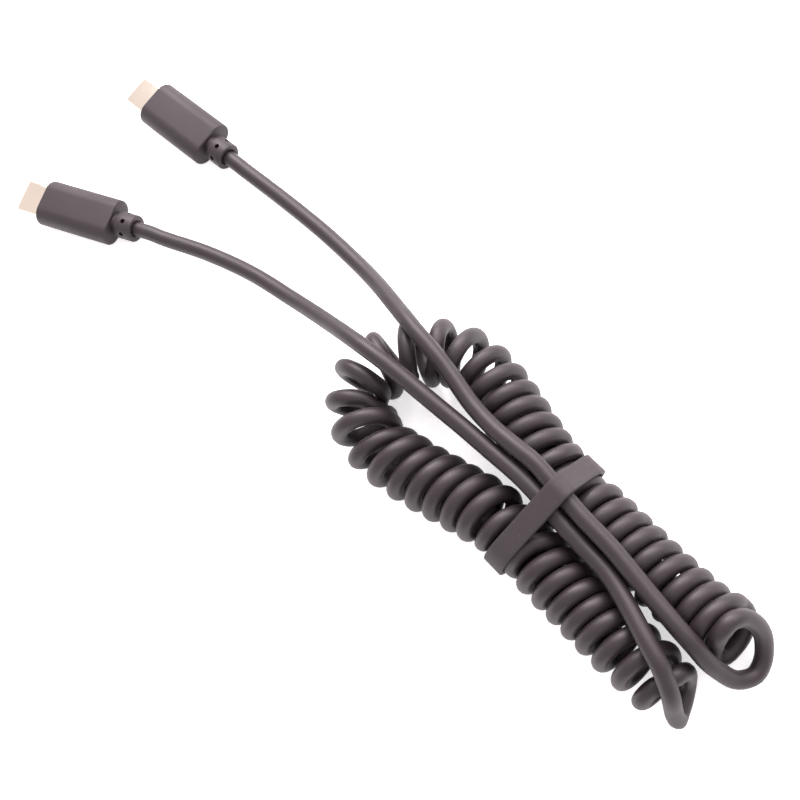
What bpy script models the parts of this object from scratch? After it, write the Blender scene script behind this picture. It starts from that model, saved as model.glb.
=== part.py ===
"""A coiled USB-C cable lying on a flat surface.

The coil is folded into a hairpin and both straight leads run back over it to two plugs.
A flat rubber tie holds the leads on the coil.
Units are metres. +X runs from the plugs towards the hairpin's open end, and +Z is up.
"""

from math import cos, pi, radians, sin

import bmesh
import bpy
import numpy as np
from mathutils import Matrix, Vector

MM = 0.001

# Cord and coil
CORD_DIAMETER = 3.5 * MM
COIL_DIAMETER = 14.2 * MM
CORD_POINT_SPACING = 3.1 * MM
COIL_POINT_SPACING = 4 * MM
CORD_BEVEL_RESOLUTION = 2
COIL_BEVEL_RESOLUTION = 7

# Clearances
SEAT_GAP = 0.3 * MM
FIT_GAP = 0.1 * MM

# Plug shell and the insert in its mouth
SHELL_WIDTH = 8.25 * MM
SHELL_HEIGHT = 2.4 * MM
SHELL_REACH = 6.65 * MM
SHELL_WALL = 0.35 * MM
SHELL_ROOT = 2 * MM
INSERT_RECESS = 0.4 * MM
SLOT_WIDTH = 6.3 * MM
SLOT_HEIGHT = 0.75 * MM
SLOT_DEPTH = 4.6 * MM

# Plug body
BODY_WIDTH = 11.1 * MM
BODY_HEIGHT = 6.4 * MM
BODY_LENGTH = 20.1 * MM
BODY_EDGE = 0.45 * MM

# Strain relief behind the body
NECK_DIAMETER = 5 * MM
NECK_LENGTH = 1.2 * MM
COLLAR_DIAMETER = 6.3 * MM
COLLAR_LENGTH = 4.4 * MM
COLLAR_EDGE = 0.35 * MM
HOLE_DIAMETER = 0.9 * MM
HOLE_DEPTH = 0.8 * MM
HOLE_COUNT = 6
HOLE_SETBACK = 2.1 * MM

# Cable tie
TIE_WIDTH = 4.6 * MM
TIE_THICKNESS = 1 * MM
TIE_X = 41.4 * MM
TIE_TURN = radians(2)
TIE_SIDES = 84

# The middle of the layout below, which becomes the origin
LAYOUT_MIDDLE = Vector((-8.23, -6.82, 0)) * MM

# Where each plug body's front face stands, and its heading from there to the cord
PLUG_A_PLACE = (-97.9 * MM, 5.4 * MM)
PLUG_A_HEADING = radians(7.9)
PLUG_B_PLACE = (-98 * MM, -29.9 * MM)
PLUG_B_HEADING = radians(27.4)

# Routes in millimetres: X, Y and, for the leads, the height of the cord's centre.
# The coil's own height comes from its diameter.
COIL_ROUTE = (
    (74.8, -0.1), (69.1, -0.6), (63.1, -0.8), (57.1, -1), (51.1, -1.2), (45.5, -1.3), (40.6, -1.3),
    (36.2, -1.9), (31.3, -3), (26.5, -4.5), (21.7, -6), (16.9, -7.5), (12.1, -8.7), (7.1, -9.4),
    (2.1, -9), (-2.4, -7.1), (-5.1, -3.5), (-5.9, 1.2), (-4.4, 6.2), (-1.3, 10.4), (2.5, 13.7),
    (7.1, 15.5), (12.1, 15.9), (17.1, 15.5), (22, 14.7), (26.9, 13.8), (31.8, 12.9), (36.7, 12.5),
    (41.7, 12.2), (47.7, 12.7), (53.7, 12.9), (59.7, 13.2), (65.7, 13.5), (71.7, 14), (74.8, 14.3),
)
LEAD_A_ROUTE = (
    (-67.6, 9.6, 3), (-53.7, 11.5, 2.8), (-39.8, 12.9, 3.4), (-26.5, 13.3, 5.8), (-19.3, 13.1, 8.6),
    (-11.8, 12.5, 12.4), (-3, 11.7, 16.2), (3.9, 11.3, 16.7), (9.7, 10.7, 16.3), (17.4, 9.6, 16),
    (24, 9.5, 16.3), (29.4, 10, 16.9), (34.6, 10.6, 17.1), (39.7, 10.4, 16.8), (48, 10, 16.4),
    (55.9, 10, 15.8), (65.4, 9.3, 15), (73.5, 8.8, 14.2), (77.8, 8.7, 12.8), (81, 8.7, 10),
    (83.9, 9.2, 6.7), (86.6, 10.5, 3.7), (87.7, 13.4, 2.3), (86.6, 16.8, 2.5), (84.1, 18.9, 5),
    (81.6, 18.9, 8),
)
LEAD_B_ROUTE = (
    (-68.6, -14.9, 2.9), (-57.4, -9.5, 2.7), (-45.5, -5.2, 3.2), (-32.7, -2.3, 5.2),
    (-22, -0.4, 9.6), (-11.3, 1.2, 15.1), (-5, 2.2, 16.8), (0.7, 3.1, 16.8), (8.2, 4, 16.2),
    (14.7, 4.8, 15.6), (19.5, 5.4, 15.2), (26.4, 6.1, 15), (33.5, 6.8, 15.2), (38.4, 6.9, 15.2),
    (46.5, 6.5, 14.8), (52.2, 6.4, 14.1), (58.6, 6.3, 13.8), (65.5, 4.9, 14.4), (72.7, 2.9, 15.2),
    (77, 1.7, 14.6), (80.2, 0.2, 11.8), (82.6, -1.3, 8.2), (84.2, -2, 4.6), (84.1, -0.6, 2.3),
    (82, 2.1, 2.4), (79.6, 2.9, 4.2),
)
# Where each lead meets the end of its coil leg, from the leg's centre: across, and up
LEAD_A_LANDING = (2.7 * MM, 3.2 * MM)
LEAD_B_LANDING = (2.6 * MM, -0.8 * MM)
# The coil is lifted over the tie's underside for this far along X
COIL_LIFT_REACH = 26 * MM
# The tie squeezes the coil by this much, this far to each side of its middle, and then it fades out.
# Beyond the tie the two legs press on each other, and keep this share of it.
COIL_SQUEEZE = 1.3 * MM
SQUEEZE_REACH = 3.7 * MM
SQUEEZE_FADE = 5 * MM
SHARE_BETWEEN_LEGS = 0.54


def clear_scene():
    for obj in list(bpy.data.objects):
        bpy.data.objects.remove(obj, do_unlink=True)


def make_material(name, color, roughness, metallic=0.0):
    material = bpy.data.materials.new(name)
    material.use_nodes = True
    shader = material.node_tree.nodes["Principled BSDF"]
    shader.inputs["Base Color"].default_value = (*color, 1)
    shader.inputs["Roughness"].default_value = roughness
    shader.inputs["Metallic"].default_value = metallic
    return material


def add_object(name, data, material):
    obj = bpy.data.objects.new(name, data)
    bpy.context.scene.collection.objects.link(obj)
    data.materials.append(material)
    return obj


def mesh_from(bm, name):
    bmesh.ops.recalc_face_normals(bm, faces=bm.faces)
    mesh = bpy.data.meshes.new(name)
    bm.to_mesh(mesh)
    bm.free()
    mesh.shade_smooth()
    mesh.set_sharp_from_angle(angle=radians(35))
    return mesh


def smooth_route(points, spacing):
    """Points at an even spacing along a centripetal Catmull-Rom curve through the given ones."""
    knots = np.array(points, dtype=float)
    knots = np.vstack([2 * knots[0] - knots[1], knots, 2 * knots[-1] - knots[-2]])
    dense = []
    for p0, p1, p2, p3 in zip(knots, knots[1:], knots[2:], knots[3:]):
        t1 = np.linalg.norm(p1 - p0) ** 0.5
        t2 = t1 + np.linalg.norm(p2 - p1) ** 0.5
        t3 = t2 + np.linalg.norm(p3 - p2) ** 0.5
        for t in np.linspace(t1, t2, 24, endpoint=False):
            a1 = p0 + (p1 - p0) * t / t1
            a2 = p1 + (p2 - p1) * (t - t1) / (t2 - t1)
            a3 = p2 + (p3 - p2) * (t - t2) / (t3 - t2)
            b1 = a1 + (a2 - a1) * t / t2
            b2 = a2 + (a3 - a2) * (t - t1) / (t3 - t1)
            dense.append(b1 + (b2 - b1) * (t - t1) / (t2 - t1))
    dense = np.array(dense + [knots[-2]])
    along = np.concatenate([[0], np.cumsum(np.linalg.norm(np.diff(dense, axis=0), axis=1))])
    count = max(2, round(along[-1] / spacing) + 1)
    even = np.linspace(0, along[-1], count)
    return np.stack([np.interp(even, along, dense[:, axis]) for axis in range(3)], axis=1)


def add_tube(name, points, diameter, bevel_resolution, material, shares=()):
    """A round tube with closed ends along the points, as thick at each as its share of the diameter."""
    curve = bpy.data.curves.new(name, "CURVE")
    curve.dimensions = "3D"
    curve.bevel_depth = diameter / 2
    curve.bevel_resolution = bevel_resolution
    curve.use_fill_caps = True
    spline = curve.splines.new("POLY")
    spline.points.add(len(points) - 1)
    spline.use_smooth = True
    for spline_point, place in zip(spline.points, points):
        spline_point.co = (*(Vector(place) - LAYOUT_MIDDLE), 1)
    for spline_point, share in zip(spline.points, shares):
        spline_point.radius = share
    return add_object(name, curve, material)


def stadium(bm, width, height, x):
    """A closed outline with full round sides, across Y, at the given X."""
    radius = height / 2
    reach = width / 2 - radius
    steps = 10
    vertices = []
    for side in (1, -1):
        for step in range(steps + 1):
            angle = side * (pi / 2) - pi * step / steps
            y = side * reach + radius * cos(angle)
            vertices.append(bm.verts.new((x, y, radius * sin(angle))))
    for start, end in zip(vertices, vertices[1:] + vertices[:1]):
        bm.edges.new((start, end))
    return vertices


def add_stadium_block(name, width, height, start, end, material, edge=0.0):
    bm = bmesh.new()
    first = bm.faces.new(stadium(bm, width, height, start))
    grown = bmesh.ops.extrude_face_region(bm, geom=[first])
    moved = [item for item in grown["geom"] if isinstance(item, bmesh.types.BMVert)]
    bmesh.ops.translate(bm, verts=moved, vec=(end - start, 0, 0))
    if edge:
        rims = [item for item in bm.edges if abs(item.verts[0].co.x - item.verts[1].co.x) < edge / 10]
        bmesh.ops.bevel(bm, geom=rims, offset=edge, segments=2, profile=0.5, affect="EDGES")
    return add_object(name, mesh_from(bm, name), material)


def cut(target, cutter):
    """Takes the cutter out of the target, and keeps the cutter as a hidden guide."""
    cutter.hide_render = True
    cutter.display_type = "WIRE"
    modifier = target.modifiers.new(cutter.name, "BOOLEAN")
    modifier.operation = "DIFFERENCE"
    modifier.solver = "EXACT"
    modifier.object = cutter


def add_shell(name, parent, metal):
    """The drawn metal shell: a stadium tube open at the mouth and at its root."""
    root = SHELL_ROOT - FIT_GAP
    shell = add_stadium_block(name, SHELL_WIDTH, SHELL_HEIGHT, -SHELL_REACH, root, metal)
    bore = add_stadium_block(
        name + ".bore", SHELL_WIDTH - 2 * SHELL_WALL, SHELL_HEIGHT - 2 * SHELL_WALL,
        -SHELL_REACH - SEAT_GAP, root + SEAT_GAP, metal)
    bore.parent = parent
    cut(shell, bore)
    shell.parent = parent
    return shell


def add_insert(name, parent, plastic):
    """The moulded insert in the shell's mouth, with the slot for the socket's tongue."""
    margin = 2 * (SHELL_WALL + FIT_GAP)
    front = -SHELL_REACH + INSERT_RECESS
    insert = add_stadium_block(
        name, SHELL_WIDTH - margin, SHELL_HEIGHT - margin, front, SHELL_ROOT - FIT_GAP, plastic)
    slot = add_stadium_block(
        name + ".slot", SLOT_WIDTH, SLOT_HEIGHT, front - SEAT_GAP, front + SLOT_DEPTH, plastic)
    slot.parent = parent
    cut(insert, slot)
    insert.parent = parent
    return insert


def add_body(name, parent, rubber):
    """The overmoulded grip, with the pocket that the shell's root sits in."""
    body = add_stadium_block(name, BODY_WIDTH, BODY_HEIGHT, 0, BODY_LENGTH, rubber, BODY_EDGE)
    pocket = add_stadium_block(
        name + ".pocket", SHELL_WIDTH + 2 * FIT_GAP, SHELL_HEIGHT + 2 * FIT_GAP,
        -SEAT_GAP, SHELL_ROOT, rubber)
    pocket.parent = parent
    cut(body, pocket)
    body.parent = parent
    return body


def add_hole_cutter(name, parent, rubber):
    """Six small pins around the collar, joined as one guide."""
    bm = bmesh.new()
    length = HOLE_DEPTH + SEAT_GAP
    middle = COLLAR_DIAMETER / 2 - HOLE_DEPTH + length / 2
    x = relief_start() + NECK_LENGTH + HOLE_SETBACK
    for index in range(HOLE_COUNT):
        turn = Matrix.Rotation(2 * pi * index / HOLE_COUNT, 4, "X")
        place = Matrix.Translation((x, 0, 0)) @ turn @ Matrix.Translation((0, 0, middle))
        bmesh.ops.create_cone(
            bm, cap_ends=True, segments=10, radius1=HOLE_DIAMETER / 2,
            radius2=HOLE_DIAMETER / 2, depth=length, matrix=place)
    cutter = add_object(name, mesh_from(bm, name), rubber)
    cutter.parent = parent
    return cutter


def relief_start():
    return BODY_LENGTH + FIT_GAP


def relief_end():
    return relief_start() + NECK_LENGTH + COLLAR_LENGTH


def add_relief(name, parent, rubber):
    """The strain relief: a narrow neck against the body, then a round collar with small holes."""
    neck = NECK_DIAMETER / 2
    collar = COLLAR_DIAMETER / 2
    start = relief_start()
    shoulder = start + NECK_LENGTH
    end = relief_end()
    profile = (
        (start, 0), (start, neck), (shoulder, neck), (shoulder, collar - COLLAR_EDGE),
        (shoulder + COLLAR_EDGE, collar), (end - COLLAR_EDGE, collar), (end, collar - COLLAR_EDGE),
        (end, 0),
    )
    bm = bmesh.new()
    vertices = [bm.verts.new((x, 0, radius)) for x, radius in profile]
    edges = [bm.edges.new(pair) for pair in zip(vertices, vertices[1:])]
    bmesh.ops.spin(
        bm, geom=vertices + edges, cent=(0, 0, 0), axis=(1, 0, 0), angle=2 * pi, steps=32,
        use_merge=True)
    bmesh.ops.remove_doubles(bm, verts=bm.verts, dist=FIT_GAP / 10)
    relief = add_object(name, mesh_from(bm, name), rubber)
    cut(relief, add_hole_cutter(name + ".holes", parent, rubber))
    relief.parent = parent
    return relief


def add_plug(letter, place, heading, metal, plastic, rubber):
    """One plug, lying flat on its body, on an empty at the middle of the body's front face."""
    empty = bpy.data.objects.new("plug_" + letter, None)
    bpy.context.scene.collection.objects.link(empty)
    empty.location = Vector((*place, BODY_HEIGHT / 2)) - LAYOUT_MIDDLE
    empty.rotation_euler = (0, 0, heading)
    add_shell("plug_shell_" + letter, empty, metal)
    add_insert("contact_insert_" + letter, empty, plastic)
    add_body("plug_body_" + letter, empty, rubber)
    add_relief("strain_relief_" + letter, empty, rubber)


def plug_exit(place, heading, past):
    """A point of the layout on the plug's axis, this far past its strain relief."""
    reach = relief_end() + past
    return (place[0] + reach * cos(heading), place[1] + reach * sin(heading), BODY_HEIGHT / 2)


def coil_diameter(x):
    """The coil's outer diameter, squeezed under the tie and where the legs lie side by side."""
    away = (abs(x - TIE_X) - SQUEEZE_REACH) / SQUEEZE_FADE
    share = 0.5 + 0.5 * cos(pi * min(1.0, max(0.0, away)))
    if x > TIE_X:
        share = max(share, SHARE_BETWEEN_LEGS)
    return COIL_DIAMETER - COIL_SQUEEZE * share


def coil_height(x):
    """The height of the coil's centre: on the floor, and lifted by the tie's underside near it."""
    lift = TIE_THICKNESS + SEAT_GAP
    away = min(1.0, abs(x - TIE_X) / COIL_LIFT_REACH)
    return coil_diameter(x) / 2 + lift * (0.5 + 0.5 * cos(pi * away))


def coil_points():
    route = [(x * MM, y * MM, 0) for x, y in COIL_ROUTE]
    flat = smooth_route(route, COIL_POINT_SPACING)
    return [(x, y, coil_height(x)) for x, y, _ in flat]


def lead_points(route, place, heading, landing, leg_end):
    """From the strain relief, over the coil, to the end face of the coil leg."""
    x, y = leg_end
    height = coil_height(x * MM)
    across, up = landing
    end = (x * MM + SEAT_GAP, y * MM + across, height + up)
    square = (end[0] + CORD_DIAMETER, end[1], end[2])
    start = plug_exit(place, heading, SEAT_GAP)
    straight = plug_exit(place, heading, SEAT_GAP + CORD_DIAMETER)
    middle = [(px * MM, py * MM, pz * MM) for px, py, pz in route]
    return smooth_route([start, straight, *middle, square, end], CORD_POINT_SPACING)


def tie_outline(circles, extra):
    """The outline of a band pulled tight round the circles, at this distance from them."""
    outline = []
    for index in range(TIE_SIDES):
        angle = 2 * pi * index / TIE_SIDES
        y, z = cos(angle), sin(angle)
        best = max(circles, key=lambda circle: circle[0] * y + circle[1] * z + circle[2])
        reach = best[2] + extra
        outline.append((best[0] + y * reach, best[1] + z * reach))
    return outline


def route_at(points, x):
    """Where a route passes the given X: its Y and Z, at the first crossing."""
    for (x1, y1, z1), (x2, y2, z2) in zip(points, points[1:]):
        if (x1 - x) * (x2 - x) <= 0 and x1 != x2:
            share = (x - x1) / (x2 - x1)
            return y1 + share * (y2 - y1), z1 + share * (z2 - z1)
    raise ValueError("the route does not reach the tie")


def add_tie(leads, rubber):
    """A flat closed band round both coil legs and both leads."""
    coil = coil_points()
    legs = [route_at(coil, TIE_X)[0], route_at(coil[::-1], TIE_X)[0]]
    circles = [(y, coil_height(TIE_X), coil_diameter(TIE_X) / 2) for y in legs]
    circles += [(*route_at(points, TIE_X), CORD_DIAMETER / 2) for points in leads]
    inner = tie_outline(circles, SEAT_GAP)
    outer = tie_outline(circles, SEAT_GAP + TIE_THICKNESS)
    bm = bmesh.new()
    rings = []
    for outline, side in ((inner, -1), (inner, 1), (outer, 1), (outer, -1)):
        x = side * TIE_WIDTH / 2
        rings.append([bm.verts.new((x, y, z)) for y, z in outline])
    for ring, following in zip(rings, rings[1:] + rings[:1]):
        for index in range(TIE_SIDES):
            after = (index + 1) % TIE_SIDES
            bm.faces.new((ring[index], ring[after], following[after], following[index]))
    mesh = mesh_from(bm, "cable_tie")
    middle_y = sum(legs) / 2
    mesh.transform(Matrix.Translation((0, -middle_y, 0)))
    tie = add_object("cable_tie", mesh, rubber)
    tie.location = Vector((TIE_X, middle_y, 0)) - LAYOUT_MIDDLE
    tie.rotation_euler = (0, 0, TIE_TURN)
    return tie


def build():
    clear_scene()
    cord_black = make_material("cord_black", (0.022, 0.018, 0.02), 0.5)
    grip_black = make_material("grip_black", (0.03, 0.026, 0.028), 0.62)
    tie_black = make_material("tie_black", (0.014, 0.013, 0.014), 0.7)
    nickel = make_material("nickel", (0.8, 0.74, 0.68), 0.28, 1.0)
    insert_black = make_material("insert_black", (0.02, 0.02, 0.02), 0.45)
    add_plug("a", PLUG_A_PLACE, PLUG_A_HEADING, nickel, insert_black, grip_black)
    add_plug("b", PLUG_B_PLACE, PLUG_B_HEADING, nickel, insert_black, grip_black)
    lead_a = lead_points(LEAD_A_ROUTE, PLUG_A_PLACE, PLUG_A_HEADING, LEAD_A_LANDING, COIL_ROUTE[-1])
    lead_b = lead_points(LEAD_B_ROUTE, PLUG_B_PLACE, PLUG_B_HEADING, LEAD_B_LANDING, COIL_ROUTE[0])
    coil = coil_points()
    shares = [coil_diameter(point[0]) / COIL_DIAMETER for point in coil]
    add_tube("coil", coil, COIL_DIAMETER, COIL_BEVEL_RESOLUTION, cord_black, shares)
    add_tube("lead_a", lead_a, CORD_DIAMETER, CORD_BEVEL_RESOLUTION, cord_black)
    add_tube("lead_b", lead_b, CORD_DIAMETER, CORD_BEVEL_RESOLUTION, cord_black)
    add_tie([lead_a, lead_b], tie_black)


build()
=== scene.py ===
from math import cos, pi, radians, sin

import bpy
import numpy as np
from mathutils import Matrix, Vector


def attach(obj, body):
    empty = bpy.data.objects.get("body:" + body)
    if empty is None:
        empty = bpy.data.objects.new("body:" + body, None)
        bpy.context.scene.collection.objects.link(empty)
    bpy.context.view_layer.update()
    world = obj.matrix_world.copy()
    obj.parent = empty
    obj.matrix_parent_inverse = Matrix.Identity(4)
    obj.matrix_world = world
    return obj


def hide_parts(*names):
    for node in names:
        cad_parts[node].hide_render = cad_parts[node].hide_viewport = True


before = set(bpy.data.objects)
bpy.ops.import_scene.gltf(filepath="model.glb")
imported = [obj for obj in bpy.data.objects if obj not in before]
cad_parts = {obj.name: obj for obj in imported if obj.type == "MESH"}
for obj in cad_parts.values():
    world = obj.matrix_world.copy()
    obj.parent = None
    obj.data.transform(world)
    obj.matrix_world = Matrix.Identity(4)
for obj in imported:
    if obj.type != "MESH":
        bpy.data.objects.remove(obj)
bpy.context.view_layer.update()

# %% [markdown]
# # A coiled charging cable, folded in two and tied
#
# The cable lies on a floor. One cord runs from the first plug over the coil, turns down at the coil's open
# end, winds 42 times through a hairpin, and comes back over the coil to the second plug. A flat rubber tie
# holds everything together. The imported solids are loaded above. They give the places, and every new piece
# stands exactly where its solid is.

MM = 0.001
# All lengths below are millimetres on the layout of the photograph. Its middle moves to the frame's origin.
LAYOUT_MIDDLE = Vector((-8.23, -6.82, 0))


def in_frame(points):
    """Layout points in millimetres, as metres in the frame of the solids."""
    return (np.array(points, dtype=float) - np.array(LAYOUT_MIDDLE)) * MM


print("solids:", sorted(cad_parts))

# %% [markdown]
# ## The camera
#
# A product photograph like this is taken from high above with a short telephoto lens. The direction is
# described by how high the camera stands over the cable and by how far it is rolled about its own axis. The
# rolled frame is what lays the cable across the picture from one corner to the other.

# %% Camera
CAMERA_ELEVATION = radians(67.846)
CAMERA_ROLL = radians(-42.71)
CAMERA_DISTANCE = 253.76
SENSOR_WIDTH = 36
FOCAL_LENGTH = 54
NEAREST_SEEN = 10
back = Vector((cos(CAMERA_ELEVATION), 0, sin(CAMERA_ELEVATION)))
level = Vector((0, 1, 0))
upward = back.cross(level)
right = cos(CAMERA_ROLL) * level + sin(CAMERA_ROLL) * upward
top = -sin(CAMERA_ROLL) * level + cos(CAMERA_ROLL) * upward

camera_data = bpy.data.cameras.new("camera")
camera_data.sensor_width = SENSOR_WIDTH
camera_data.lens = FOCAL_LENGTH
camera_data.clip_start = NEAREST_SEEN * MM
camera = bpy.data.objects.new("camera", camera_data)
bpy.context.scene.collection.objects.link(camera)
place = (back * CAMERA_DISTANCE - LAYOUT_MIDDLE) * MM
camera.matrix_world = Matrix.Translation(place) @ Matrix((right, top, back)).transposed().to_4x4()
bpy.context.scene.camera = camera
print("camera at", [round(v, 4) for v in place])

# %% [markdown]
# ## The line that the cord follows
#
# The whole cord is one tube, so it is planned as one line. The plain stretches are lists of points, read from
# the photograph with a height for each, so that they climb over the coil and bend down at its open end. The
# coil's own route is the line through the middle of its turns, seen from above.

# %% Route points
CORD_DIAMETER = 3.5

COIL_ROUTE = (
    (79.5, 0.3), (74.8, -0.1), (69.1, -0.6), (63.1, -0.8), (57.1, -1), (51.1, -1.2), (45.5, -1.3),
    (40.6, -1.3), (36.2, -1.9), (31.3, -3), (26.5, -4.5), (21.7, -6), (16.9, -7.5), (12.1, -8.7),
    (7.1, -9.4), (2.1, -9), (-2.4, -7.1), (-5.1, -3.5), (-5.9, 1.2), (-4.4, 6.2), (-1.3, 10.4),
    (2.5, 13.7), (7.1, 15.5), (12.1, 15.9), (17.1, 15.5), (22, 14.7), (26.9, 13.8), (31.8, 12.9),
    (36.7, 12.5), (41.7, 12.2), (47.7, 12.7), (53.7, 12.9), (59.7, 13.2), (65.7, 13.5), (71.7, 14),
    (74.8, 14.3), (79.5, 14.8),
)
LEAD_A_ROUTE = (
    (-67.6, 9.6, 3), (-53.7, 11.5, 2.8), (-39.8, 12.9, 3.4), (-26.5, 13.3, 5.8), (-19.3, 13.1, 8.6),
    (-11.8, 12.5, 12.4), (-3, 11.7, 16.2), (3.9, 11.3, 16.7), (9.7, 10.7, 16.3), (17.4, 9.6, 16),
    (24, 9.5, 16.3), (29.4, 10, 16.9), (34.6, 10.6, 17.1), (39.7, 10.4, 16.8), (48, 10, 16.4),
    (55.9, 10, 15.8), (65.4, 9.3, 15), (73.5, 8.8, 14.2), (77.8, 8.7, 12.8), (81, 8.7, 10),
    (83.9, 9.2, 6.7), (86.6, 10.5, 3.7),
)
LEAD_B_ROUTE = (
    (-68.6, -14.9, 2.9), (-57.4, -9.5, 2.7), (-45.5, -5.2, 3.2), (-32.7, -2.3, 5.2),
    (-22, -0.4, 9.6), (-11.3, 1.2, 15.1), (-5, 2.2, 16.8), (0.7, 3.1, 16.8), (8.2, 4, 16.2),
    (14.7, 4.8, 15.6), (19.5, 5.4, 15.2), (26.4, 6.1, 15), (33.5, 6.8, 15.2), (38.4, 6.9, 15.2),
    (46.5, 6.5, 14.8), (52.2, 6.4, 14.1), (58.6, 6.3, 13.8), (65.5, 4.9, 14.4), (72.7, 2.9, 15.2),
    (77, 1.7, 14.6), (80.2, 0.2, 11.8), (82.6, -1.3, 8.2),
)
# From each lead's foot at the coil's open end to the first full turn
LOOP_A = (
    (88, 13.5, 2.3), (87.2, 16.2, 2.4), (85.7, 18.1, 3.6), (84, 19.4, 5.6), (82.2, 19.7, 8.2),
    (80.6, 19.1, 10.6), (79.4, 17.8, 12.4), (78.8, 16, 13.2), (78.9, 14, 12.9), (79.4, 12.5, 11.2),
    (79.9, 11.5, 8.4), (80.2, 10.7, 5.8), (80.9, 10.6, 3.6), (82, 11.9, 2.1), (82, 14, 1.8),
    (81.5, 16.8, 1.9), (80.5, 19, 2.9), (79.1, 20.3, 4.7),
)
LOOP_B = (
    (83.8, -2.1, 5.6), (84.7, -2.3, 3.3), (84.2, -1.5, 2), (83.1, 0.5, 1.8), (81.8, 2.5, 2),
    (80.8, 3.9, 3.2), (80.2, 4.6, 5.4), (79.7, 4.6, 7.4), (79.5, 3.6, 8.6), (79.5, 2, 9),
    (79.1, 0.3, 9.1), (78.5, -1.1, 9.1), (78.1, -2.6, 8.6),
)

print("route points:", len(COIL_ROUTE), len(LEAD_A_ROUTE), len(LEAD_B_ROUTE), len(LOOP_A), len(LOOP_B))

# %% [markdown]
# ## A smooth curve through points
#
# Straight pieces between the points would show as kinks, and many splines swing past tight bends. A
# centripetal Catmull-Rom curve goes through every point without that overshoot. It is drawn finely and then
# walked along at an even spacing, so that the tube's rings stand evenly too.

# %% Smooth route
FINE_STEPS = 12


def length_along(line):
    """For each point of the line, the length of the line up to it."""
    return np.concatenate([[0], np.cumsum(np.linalg.norm(np.diff(line, axis=0), axis=1))])


def smooth_route(points, spacing):
    """Points at an even spacing along a centripetal Catmull-Rom curve through the given ones."""
    knots = np.array(points, dtype=float)
    knots = np.vstack([2 * knots[0] - knots[1], knots, 2 * knots[-1] - knots[-2]])
    dense = []
    for p0, p1, p2, p3 in zip(knots, knots[1:], knots[2:], knots[3:]):
        t1 = np.linalg.norm(p1 - p0) ** 0.5
        t2 = t1 + np.linalg.norm(p2 - p1) ** 0.5
        t3 = t2 + np.linalg.norm(p3 - p2) ** 0.5
        for t in np.linspace(t1, t2, FINE_STEPS, endpoint=False):
            a1 = p0 + (p1 - p0) * t / t1
            a2 = p1 + (p2 - p1) * (t - t1) / (t2 - t1)
            a3 = p2 + (p3 - p2) * (t - t2) / (t3 - t2)
            b1 = a1 + (a2 - a1) * t / t2
            b2 = a2 + (a3 - a2) * (t - t1) / (t3 - t1)
            dense.append(b1 + (b2 - b1) * (t - t1) / (t2 - t1))
    dense = np.array(dense + [knots[-2]])
    along = length_along(dense)
    even = np.linspace(0, along[-1], max(2, round(along[-1] / spacing) + 1))
    return np.stack([np.interp(even, along, dense[:, axis]) for axis in range(3)], axis=1)


print("lead a, smoothed at 1 mm:", len(smooth_route(LEAD_A_ROUTE, 1)), "points")

# %% [markdown]
# ## How thick and how high the coil is
#
# The coil lies on the floor and is a little thinner wherever something presses on it. The tie pulls it in,
# and past the tie its two legs press against each other. Near the tie it also stands a little higher, because
# the band passes under it. The band presses the turns in here a little more than it does in the solids.

# %% Coil size
COIL_DIAMETER = 14.2
TIE_X = 41.4
# How much thinner the coil is under the tie, how far that reaches either way, and where it has faded out
COIL_SQUEEZE = 1.9
SQUEEZE_REACH = 2.4
SQUEEZE_FADE = 4
# The share of that squeeze which is left between the two legs, from the tie to the open end
SHARE_BETWEEN_LEGS = 0.37
TIE_LIFT = 1.3
COIL_LIFT_REACH = 26


def coil_diameter(x):
    """The coil's outer diameter, squeezed under the tie and where the legs lie side by side."""
    away = np.clip((np.abs(x - TIE_X) - SQUEEZE_REACH) / SQUEEZE_FADE, 0, 1)
    share = 0.5 + 0.5 * np.cos(pi * away)
    share = np.where(x > TIE_X, np.maximum(share, SHARE_BETWEEN_LEGS), share)
    return COIL_DIAMETER - COIL_SQUEEZE * share


def coil_height(x):
    """The height of the coil's middle: on the floor, and lifted by the tie's underside near it."""
    away = np.clip(np.abs(x - TIE_X) / COIL_LIFT_REACH, 0, 1)
    return coil_diameter(x) / 2 + TIE_LIFT * (0.5 + 0.5 * np.cos(pi * away))


for x in (0, TIE_X, 60):
    print("coil at X", x, "thickness and height:", round(float(coil_diameter(x)), 2),
          round(float(coil_height(x)), 2))

# %% [markdown]
# ## The winding
#
# A curly cord is wound on a rod and heat set, so its turns touch where nobody has pulled at it. Here it has
# been bent into a hairpin, so the turns fan out on the outside of the bend and crowd on the inside. The
# stations below say how far along the coil each turn reaches its outer side. Between them the angle grows
# evenly, which gives each turn its own width, as on the real one. The turns aren't quite square to the coil
# either: each leans a little, and in the bend some stand higher than their neighbours.

# %% Winding
TURN_STATIONS = (
    1.7, 5.3, 9.0, 13.0, 17.1, 20.8, 24.5, 28.3, 31.9, 35.8, 39.8, 43.6, 47.4, 51.8, 56.2, 60.2, 64.4,
    69.1, 74.2, 79.7, 85.7, 91.9, 97.8, 102.0, 106.9, 111.8, 116.8, 121.4, 125.7, 130.0, 134.3,
    138.6, 143.0, 147.4, 151.6, 155.5, 159.6, 163.4, 167.3, 171.1, 175.2, 179.8, 184.8,
)
POINTS_PER_TURN = 24
AXIS_SPACING = 0.25
# By turn: how far the outer sides lean back along the coil, and how far the tops lean forward
LEAN = (
    (0, -0.1, 1), (9, -0.1, 1), (15, -0.5, 0.1), (17, -0.6, 0), (19, -0.8, -0.8), (21, -0.9, -1.3),
    (23, 0.2, -1.3), (25, 1.1, -0.8), (28, 0.9, -0.6), (32, 0.5, -0.7), (35, 0.3, -1.2), (42, 0.3, -1.2),
)
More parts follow.
